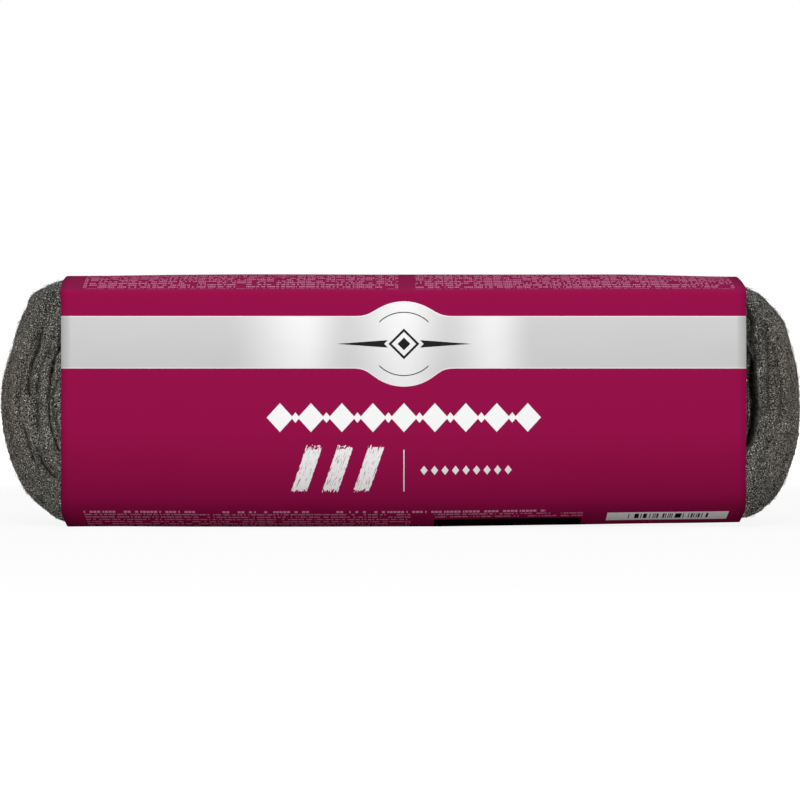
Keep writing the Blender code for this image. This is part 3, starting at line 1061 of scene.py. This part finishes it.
def coat_mask(points, cavity, side, behind):
    """1 on the bare wool of one end and one half of the depth, thin in the creases, and 0 elsewhere."""
    past = points[:, 0] * side - sleeve_reach(points[:, 2], side)
    half = points[:, 1] >= 0.0 if behind else points[:, 1] < 0.0
    bare = np.clip((past - COAT_STARTS_PAST) / COAT_FADE, 0.0, 1.0)
    return half * bare * (1.0 - THINNED_IN_CREASES * np.clip(cavity, 0.0, 1.0))


def bare_area(mesh, mask):
    """Area of the faces that the mask covers."""
    areas = np.empty(len(mesh.polygons))
    mesh.polygons.foreach_get("area", areas)
    starts = np.empty(len(mesh.polygons), int)
    mesh.polygons.foreach_get("loop_start", starts)
    corners = np.empty(len(mesh.loops), int)
    mesh.loops.foreach_get("vertex_index", corners)
    return float((areas * mask[corners[starts]]).sum())


class WOOLPAD_OT_fibres(bpy.types.Operator):
    """Lay curled steel fibres over the bare bends of the wool"""

    bl_idname = "woolpad.fibres"
    bl_label = "Wool fibres"

    def execute(self, context):
        """Makes one fibre coat for each half of each end, with a node tree over a copy of the turns."""
        settings = context.scene.woolpad_wool
        turns = bpy.data.objects["wool_turns"]
        finish = wool_paint("steel_wool_fibres", settings, True)
        tree = fibre_tree()
        coats = (
            ("fibre_coat_left_front", -1, False, 5),
            ("fibre_coat_left_back", -1, True, 6),
            ("fibre_coat_right_front", 1, False, 7),
            ("fibre_coat_right_back", 1, True, 8),
        )
        for name, side, behind, seed in coats:
            mesh = turns.data.copy()
            mesh.name = name
            points = np.empty(len(mesh.vertices) * 3)
            mesh.vertices.foreach_get("co", points)
            cavity = np.empty(len(mesh.vertices))
            mesh.attributes["cavity"].data.foreach_get("value", cavity)
            mask = coat_mask(points.reshape(-1, 3), cavity, side, behind)
            set_attribute(mesh, "coat", "FLOAT", mask)
            made = link(bpy.data.objects.new(name, mesh))
            modifier = made.modifiers.new("fibres", "NODES")
            modifier.node_group = tree.tree
            modifier[tree.identifiers["Density"]] = settings.fibres / bare_area(mesh, mask)
            modifier[tree.identifiers["Length"]] = settings.fibre_length
            modifier[tree.identifiers["Radius"]] = settings.fibre_radius
            modifier[tree.identifiers["Seed"]] = seed
            modifier[tree.identifiers["Material"]] = finish
            plain_mesh(made)
            made.data.shade_smooth()
            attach(made, "root")
        return {"FINISHED"}


def sheet_grid(settings):
    """The sheet's middle surface over its path and its length: points, distance below the crease, x."""
    outer_edge = back_length_at(LAP_EDGE_HEIGHT)
    inner_edge = back_length_at(LAP_EDGE_HEIGHT + LAP_WIDTH) + SECTION_GIRTH
    path = sheet_path(outer_edge, inner_edge)
    wrapped = np.mod(path, SECTION_GIRTH)
    closed = np.append(SECTION_LENGTHS, SECTION_GIRTH)
    loop = np.hstack([SECTION, normals_of(SECTION)])
    loop = np.vstack([loop, loop[:1]])
    y, z, ny, nz = (np.interp(wrapped, closed, values)[:, None] for values in loop.T)
    half_length = SLEEVE_LENGTH / 2
    x = SLEEVE_MIDDLE + np.linspace(-half_length, half_length, SHEET_COLUMNS)
    path_grid, x_grid = np.meshgrid(path, x, indexing="ij")

    # The lap's outer layer is raised, and its edge curls up
    past_lap = (path_grid - outer_edge - LAP_WIDTH) / LAP_EASE
    raised = (settings.paper + LAP_GAP) * (1.0 - smooth(past_lap))
    edge_curl = LAP_EDGE_CURL * np.exp((outer_edge - path_grid) / LAP_CURL_REACH)

    # Soft waves, and ripples at both ends, but none where the pad rests
    wave = uneven(x_grid / WAVE_LENGTHS[0] + 3.0, path_grid / WAVE_LENGTHS[1], 41, 2)
    near_end = np.exp((np.abs(x_grid - SLEEVE_MIDDLE) - half_length) / END_RIPPLE_REACH)
    ripple = uneven(path_grid / END_RIPPLE_LENGTH, np.sign(x_grid) * 2.0 + 5.0, 43, 2)
    off_floor = smooth(np.abs(path_grid - front_length_at(0.0) - REST_OFFSET) / REST_FADE - 0.4)
    shift = (settings.waviness * wave + END_RIPPLE * near_end * ripple) * off_floor
    shift = shift + raised + edge_curl * (0.5 + 0.5 * wave)

    height = z + nz * shift
    share = (x_grid - SLEEVE_MIDDLE) / half_length
    right_flare = sleeve_reach(height, 1) - SLEEVE_HIGH[0]
    left_flare = sleeve_reach(height, -1) + SLEEVE_LOW[0]
    flared = x_grid + np.where(share > 0.0, right_flare, left_flare) * share
    points = np.stack([flared, y + ny * shift, lifted(height, x_grid)], axis=-1)
    below = path - SECTION_GIRTH - front_length_at(HEIGHT - TOP_CROWN)
    return points, below, x


def sheet_path(start, end):
    """Places along the sheet's path, closer together where the section turns sharply."""
    normal = normals_of(SECTION)
    turns = np.linalg.norm(np.roll(normal, -1, axis=0) - normal, axis=1)
    fine = np.arange(start, end, OUTLINE_STEP)
    turning = np.interp(np.mod(fine, SECTION_GIRTH), SECTION_LENGTHS, turns)
    measure = np.cumsum(OUTLINE_STEP / SHEET_ROW_STEP + turning / SHEET_ROW_TURN)
    measure = np.concatenate([[0.0], measure])
    places = np.append(fine, end)
    return np.interp(np.linspace(0.0, measure[-1], int(measure[-1])), measure, places)


class WOOLPAD_OT_sleeve(bpy.types.Operator):
    """Wrap the printed sheet round the wool and lap it at the back"""

    bl_idname = "woolpad.sleeve"
    bl_label = "Paper sleeve"

    def execute(self, context):
        """Builds the sheet as one thickened strip with its print laid out on a map in metres."""
        settings = context.scene.woolpad_sleeve
        points, below, x = sheet_grid(settings)
        rows, columns = points.shape[:2]
        row, column = np.meshgrid(np.arange(rows - 1), np.arange(columns - 1), indexing="ij")
        low = (row * columns + column).reshape(-1)
        faces = np.stack([low, low + columns, low + columns + 1, low + 1], axis=-1)
        made = mesh_object("printed_sleeve", points.reshape(-1, 3), faces, sleeve_paint(settings))
        made.data.materials.append(bare_paper())
        mapped = np.broadcast_arrays((x - SLEEVE_MIDDLE)[None, :] + MAP_ORIGIN, below[:, None] + MAP_ORIGIN)
        mapped = np.stack(mapped, axis=-1).reshape(-1, 2)
        layer = made.data.uv_layers.new(name="sheet")
        corners = np.empty(len(made.data.loops), int)
        made.data.loops.foreach_get("vertex_index", corners)
        layer.data.foreach_set("uv", mapped[corners].ravel())
        thickness = made.modifiers.new("thickness", "SOLIDIFY")
        thickness.thickness = settings.paper
        thickness.offset = -1.0
        thickness.material_offset = 1
        thickness.material_offset_rim = 1
        plain_mesh(made)
        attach(made, "root")
        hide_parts("paper_sleeve")
        return {"FINISHED"}


# Print on the front, in millimetres: across from the sheet's middle, and heights
BAND_MIDDLE, BAND_HALF = 56.8, 8.0
BADGE_MIDDLE, BADGE_WIDE, BADGE_HIGH, BADGE_FILLET = 56.3, 13.9, 13.0, 4.0
ROW_MIDDLE, ROW_HALF_LENGTH, ROW_HALF_HEIGHT = 33.9, 42.2, 4.4
STROKES_ACROSS, STROKES_LOW, STROKES_MIDDLE, STROKES_HIGH = -20.0, 11.6, 18.2, 24.8
STROKES_SLANT, STROKES_HALF_SPAN, STROKE_PITCH, STROKE_HALF_WIDTH = 0.32, 14.1, 9.4, 2.4
RULE_LOW, RULE_HIGH, RULE_HALF_WIDTH = 11.3, 24.1, 0.16
SMALL_LEFT, SMALL_RIGHT, SMALL_MIDDLE, SMALL_HALF = 4.5, 33.2, 17.8, 1.5
LOZENGES_IN_ROW = 9

# Blocks of the print, in millimetres: left, right, and their top and bottom below the lower crease
HEADING = (-97.1, 43.0, 3.0, 5.0)
LEFT_NOTES = (-96.9, 2.0, 4.6, 12.0)
RIGHT_NOTES = (9.2, 54.5, 4.6, 7.1)
BLACK_PANEL = (9.2, 54.5, 7.6, 24.0)
PALE_PANEL = (62.0, 99.0, 5.4, 9.6)
BARS = (68.5, 93.0, 6.2, 8.6)
BAR_WIDTH = 0.27
# Blocks on the top, with their top and bottom measured from the top crease
LEFT_TOP_NOTES = (-97.0, -1.7, -25.0, -1.2)
RIGHT_TOP_NOTES = (3.5, 100.5, -25.0, -1.2)


def below_mm(height_mm):
    """Distance below the front's top crease, in millimetres, of a height on the front."""
    return (front_length_at(height_mm * MM) - front_length_at(HEIGHT - TOP_CROWN)) / MM


def within(value, low, high, blur=0.06):
    """1 where a value lies between two limits, with a slightly soft edge."""
    return value.ramp(low - blur, low + blur) * value.ramp(high + blur, high - blur)


class SheetPaint(Paint):
    """Paint laid out on the flat sheet: across from its middle, and down from its top crease, in mm."""

    def __init__(self, name):
        super().__init__(name)
        u, v, _ = self.separate(self.node("ShaderNodeUVMap", {"uv_map": "sheet"}))
        self.across = (u - MAP_ORIGIN) / MM
        self.down = (v - MAP_ORIGIN) / MM
        self.sheet = self.combine(self.across, self.down)

    def block(self, sides, crease=0.0):
        """1 in a rectangle: left, right, and its top and bottom below a crease."""
        left, right, top, bottom = sides
        return within(self.across, left, right) * within(self.down, crease + top, crease + bottom)

    def lozenges(self, start, middle, pitch, wide, high):
        """A row of plain lozenges at a pitch along the sheet."""
        cell = ((self.across - start) / pitch).math("FRACT") - 0.5
        size = abs(cell) * (pitch / wide) + abs(self.down - middle) / high
        return size.ramp(1.03, 0.97)

    def dashes(self, top, pitch, letter, seed):
        """Rows of short dashes in random lengths, in place of small print."""
        rows = (self.down - top) / pitch
        row = rows.math("FLOOR")
        letters = self.across / letter
        cell = letters.math("FLOOR")
        dash = letters.math("FRACT").ramp(0.12, 0.3) * (self.chance(cell, row, seed) > 0.22)
        word = self.chance((cell / 5.0).math("FLOOR"), row, seed + 4.0) > 0.06
        line = within(rows.math("FRACT"), 0.28, 0.72, 0.08)
        return line * dash * word * ((letters / 5.0).math("FRACT") > 0.12)


def foil_sheen(paint):
    """Soft streaks of light across the silver band, 0 to 1."""
    half_span = 60.0
    shares = {-54.5: 0.0, -30.2: 0.97, -17.0: 0.13, 0.0: 0.94, 13.5: 0.13, 27.0: 0.85, 40.0: 0.0}
    stops = [((x / half_span + 1.0) / 2.0, (share, share, share, 1.0)) for x, share in shares.items()]
    return paint.node("ShaderNodeValToRGB", {"stops": stops}, {0: (paint.across / half_span + 1.0) / 2.0})


def badge_motif(paint, oval):
    """The badge's plain motif: a framed lozenge, a needle behind it and two thin arcs."""
    across = abs(paint.across)
    down = abs(paint.down - below_mm(BADGE_MIDDLE))
    gem = across + down
    arcs = within(oval, -3.5, -3.2, 0.08) * across.ramp(7.6, 7.3)
    needle = (across / 20.5 + down / 1.5).ramp(1.03, 0.97) * gem.ramp(5.9, 6.1)
    return (arcs + within(gem, 3.7, 4.7) + gem.ramp(2.0, 1.9) + needle).math("MINIMUM", 1.0)


def silver_print(paint, settings):
    """The silver band and the badge on it: its colour, and its share at a place."""
    top = front_length_at(HEIGHT - TOP_CROWN) / MM
    band = abs(abs(paint.down + top) - top - below_mm(BAND_MIDDLE)) - BAND_HALF
    oval_x = paint.across / BADGE_WIDE
    oval_y = (paint.down - below_mm(BADGE_MIDDLE)) / BADGE_HIGH
    oval = ((oval_x * oval_x + oval_y * oval_y).math("SQRT") - 1.0) * BADGE_HIGH
    edge = paint.math("SMOOTH_MIN", band, oval, BADGE_FILLET)
    silver = paint.mix(foil_sheen(paint), settings.silver, srgb(229, 229, 229))
    silver = paint.mix(within(edge, -0.32, 0.0, 0.1) * 0.7, silver, srgb(236, 222, 228))
    silver = paint.mix(badge_motif(paint, oval), silver, srgb(36, 33, 36))
    return silver, edge.ramp(0.05, -0.05)


def large_row(paint):
    """Lozenges with small ones between them, in place of the large words."""
    pitch = ROW_HALF_LENGTH * 2 / LOZENGES_IN_ROW
    middle = below_mm(ROW_MIDDLE)
    large = paint.lozenges(-pitch / 2, middle, pitch, 4.0, ROW_HALF_HEIGHT)
    small = paint.lozenges(0.0, middle, pitch, 1.3, 1.6) * abs(paint.across).ramp(4.1 * pitch, 4.0 * pitch)
    return large.math("MAXIMUM", small) * within(paint.across, -ROW_HALF_LENGTH, ROW_HALF_LENGTH)


def brush_strokes(paint):
    """Three slanted brush strokes with ragged ends and the marks of bristles."""
    slant = paint.across - STROKES_ACROSS + (paint.down - below_mm(STROKES_MIDDLE)) * STROKES_SLANT
    from_middle = ((slant / STROKE_PITCH + 0.5).math("FRACT") - 0.5) * STROKE_PITCH
    bristle = paint.noise(paint.combine(slant * 3.2, paint.down * 0.28), 1.0, 3.0, 0.7)
    ragged = paint.noise(paint.combine(slant * 2.0, paint.down * 0.9 + 7.0), 1.0) - 0.5
    ends = within(paint.down + ragged * 5.0, below_mm(STROKES_HIGH), below_mm(STROKES_LOW), 0.1)
    sides = within(from_middle + ragged * 0.7, -STROKE_HALF_WIDTH, STROKE_HALF_WIDTH, 0.1)
    return sides * ends * within(slant, -STROKES_HALF_SPAN, STROKES_HALF_SPAN) * bristle.ramp(0.36, 0.44)


def pale_shapes(paint):
    """The pale shapes on the front: the large row, the strokes, the rule and the small row."""
    rule = within(abs(paint.across), -1.0, RULE_HALF_WIDTH, 0.05)
    rule = rule * within(paint.down, below_mm(RULE_HIGH), below_mm(RULE_LOW))
    pitch = (SMALL_RIGHT - SMALL_LEFT) / LOZENGES_IN_ROW
    small = paint.lozenges(SMALL_LEFT, below_mm(SMALL_MIDDLE), pitch, 1.1, SMALL_HALF)
    small = small * within(paint.across, SMALL_LEFT, SMALL_RIGHT)
    shapes = large_row(paint).math("MAXIMUM", brush_strokes(paint))
    shapes = shapes.math("MAXIMUM", rule * 0.85).math("MAXIMUM", small * 0.9)
    return shapes * within(paint.down, -1.0, below_mm(BOTTOM_CREASE_HEIGHT / MM), 0.3)


def small_print(paint, crease):
    """Rows of dashes below the lower crease and on the top, in place of small print."""
    heading = paint.dashes(crease + HEADING[2], 2.0, 1.15, 3.0) * paint.block(HEADING, crease)
    notes = paint.block(LEFT_NOTES, crease) + paint.block(RIGHT_NOTES, crease)
    notes = notes * paint.dashes(crease + LEFT_NOTES[2], 1.25, 0.50, 11.0)
    top_notes = paint.block(LEFT_TOP_NOTES) + paint.block(RIGHT_TOP_NOTES)
    top_notes = top_notes * paint.dashes(0.0, 1.9, 0.60, 23.0)
    return (heading * 0.9).math("MAXIMUM", notes * 0.7).math("MAXIMUM", top_notes * 0.7)


def sleeve_paint(settings):
    """The print: maroon ground, silver band with a rounded badge, and plain pale shapes, with a painted
    sheen on the top.
    """
    paint = SheetPaint("printed_paper")
    crease = below_mm(BOTTOM_CREASE_HEIGHT / MM)
    colour = paint.mix(paint.noise(paint.sheet, 0.06) * 0.12, settings.ground, srgb(142, 8, 66))
    # Painted sheen and shade: above the front's top crease the ground is greyer and a little darker, as the
    # top is seen at a slant
    colour = paint.mix(paint.down.ramp(0.4, -0.8), colour, srgb(147, 32, 80))
    silver, foil = silver_print(paint, settings)
    colour = paint.mix(foil, colour, silver)
    colour = paint.mix(pale_shapes(paint), colour, settings.white)
    colour = paint.mix(small_print(paint, crease), colour, srgb(232, 158, 192))
    colour = paint.mix(paint.block(BLACK_PANEL, crease), colour, srgb(22, 14, 18))
    colour = paint.mix(paint.block(PALE_PANEL, crease), colour, srgb(252, 250, 250))
    bar = paint.node("ShaderNodeTexWhiteNoise", {"noise_dimensions": "1D"}, {
        "W": (paint.across / BAR_WIDTH).math("FLOOR"),
    })
    colour = paint.mix((bar > 0.5) * paint.block(BARS, crease), colour, srgb(30, 22, 26))

    grain = paint.noise(paint.sheet, 6.0, 3.0, 0.6)
    soft_wave = paint.noise(paint.sheet, 0.09, 1.0)
    linked = {
        "Base Color": colour,
        "Roughness": 0.42 - foil * 0.1 + grain * 0.08,
        "Metallic": foil * 0.15,
        "Normal": paint.bump(grain * 0.1 + soft_wave * 0.5, 0.00025, 0.5),
    }
    return paint.surface(linked, {"Specular IOR Level": 0.0})


def bare_paper():
    """The sheet's unprinted back and its cut edges."""
    paint = Paint("bare_paper")
    fibres = paint.noise(paint.place(), 900.0, 3.0, 0.6)
    colour = paint.mix(fibres, srgb(206, 202, 196), srgb(226, 223, 218))
    return paint.surface({"Base Color": colour}, {"Roughness": 0.8, "Specular IOR Level": 0.2})


# Stage, in metres
FLOOR_REACH = 6.0
KEY_SIZE = (1.1, 0.7)
KEY_PLACE = (0.0, -1.35, 0.85)


def lamp(name, size, place, target, share):
    """A soft rectangular lamp that gives a share of full light at its target."""
    data = bpy.data.lights.new(name, "AREA")
    data.shape = "RECTANGLE"
    data.size, data.size_y = size
    way = Vector(target) - Vector(place)
    data.energy = math.pi**2 * way.length_squared * share
    made = link(bpy.data.objects.new(name, data))
    made.location = place
    made.rotation_euler = way.to_track_quat("-Z", "Y").to_euler()


def seen_directly(tree):
    """1 for rays from the camera, off glossy surfaces and through clear ones."""
    path = tree.node("ShaderNodeLightPath")
    camera, glossy, clear = (path.output(f"Is {kind} Ray") for kind in ("Camera", "Glossy", "Transmission"))
    return camera.math("MAXIMUM", glossy).math("MAXIMUM", clear)


def floor_paint():
    """Pale floor that reads as white where it is fully lit and keeps a soft shadow."""
    paint = Paint("pale_floor")
    matte = paint.node("ShaderNodeBsdfDiffuse", {}, {"Color": (0.30, 0.30, 0.30, 1.0)})
    glow = paint.node("ShaderNodeEmission", {}, {"Color": (1.0, 1.0, 1.0, 1.0), "Strength": 1.4})
    x, y, _ = paint.separate(paint.place())
    far = (x * x + y * y).math("SQRT").ramp(0.3, 1.3)
    share = seen_directly(paint) * (far * 0.36 + 0.64)
    shown = paint.node("ShaderNodeMixShader", {}, {0: share, 1: matte, 2: glow})
    paint.node("ShaderNodeOutputMaterial", {}, {"Surface": shown})
    return paint.material


def studio_world(sky_strength):
    """A white world, at full strength where it is seen directly and softer as a light."""
    world = bpy.data.worlds.new("studio")
    world.use_nodes = True
    tree = NodeTree(world.node_tree)
    strength = seen_directly(tree) * (1.0 - sky_strength) + sky_strength
    sockets = {"Color": (1.0, 1.0, 1.0, 1.0), "Strength": strength}
    background = tree.node("ShaderNodeBackground", {}, sockets)
    tree.node("ShaderNodeOutputWorld", {}, {"Surface": background})
    return world


def front_camera(settings):
    """A camera straight in front of the pad, level with its middle."""
    data = bpy.data.cameras.new("camera")
    data.sensor_width = 36.0
    data.lens = data.sensor_width * settings.camera_distance / settings.frame_width
    data.clip_start = 0.01
    made = link(bpy.data.objects.new("camera", data))
    made.location = (0.0, -settings.camera_distance, HEIGHT / 2)
    made.rotation_euler = (math.pi / 2, 0.0, 0.0)
    return made


class WOOLPAD_OT_stage(bpy.types.Operator):
    """Set up the pale floor, the studio light and the camera"""

    bl_idname = "woolpad.stage"
    bl_label = "Stage"

    def execute(self, context):
        """Makes the floor, the lamp, the world and the camera at the photograph's viewing angle."""
        settings = context.scene.woolpad_stage
        corners = np.array([(-1, -1, 0), (1, -1, 0), (1, 1, 0), (-1, 1, 0)]) * FLOOR_REACH
        floor = mesh_object("floor", corners, np.array([[0, 1, 2, 3]]), floor_paint())
        lamp("key_lamp", KEY_SIZE, KEY_PLACE, (0.0, 0.0, HEIGHT / 2), settings.key_strength)
        context.scene.world = studio_world(settings.sky_strength)
        context.scene.camera = front_camera(settings)
        context.scene.view_settings.view_transform = "Standard"
        return {"FINISHED"}


class WOOLPAD_PT_panel(bpy.types.Panel):
    """The pad's settings and the operators that make its pieces"""

    bl_label = "Wool pad"
    bl_idname = "WOOLPAD_PT_panel"
    bl_space_type = "VIEW_3D"
    bl_region_type = "UI"
    bl_category = "Wool pad"

    def draw(self, context):
        """Lists each group's settings above the operators that use them."""
        groups = (
            (context.scene.woolpad_wool, ("woolpad.turns", "woolpad.fibres")),
            (context.scene.woolpad_sleeve, ("woolpad.sleeve",)),
            (context.scene.woolpad_stage, ("woolpad.stage",)),
        )
        for settings, operators in groups:
            box = self.layout.box()
            for name in type(settings).__annotations__:
                box.prop(settings, name)
            for operator in operators:
                box.operator(operator)


SETTINGS = {
    "woolpad_wool": WoolSettings,
    "woolpad_sleeve": SleeveSettings,
    "woolpad_stage": StageSettings,
}
OPERATORS = (WOOLPAD_OT_turns, WOOLPAD_OT_fibres, WOOLPAD_OT_sleeve, WOOLPAD_OT_stage)


def register():
    """Registers the settings, the operators and the panel."""
    for name, group in SETTINGS.items():
        bpy.utils.register_class(group)
        setattr(bpy.types.Scene, name, bpy.props.PointerProperty(type=group))
    for cls in (*OPERATORS, WOOLPAD_PT_panel):
        bpy.utils.register_class(cls)


def unregister():
    """Removes what register() added."""
    for cls in (WOOLPAD_PT_panel, *OPERATORS[::-1]):
        bpy.utils.unregister_class(cls)
    for name, group in SETTINGS.items():
        delattr(bpy.types.Scene, name)
        bpy.utils.unregister_class(group)


def main():
    """Makes every piece."""
    register()
    bpy.ops.woolpad.turns()
    bpy.ops.woolpad.fibres()
    bpy.ops.woolpad.sleeve()
    bpy.ops.woolpad.stage()


if __name__ == "__main__":
    main()
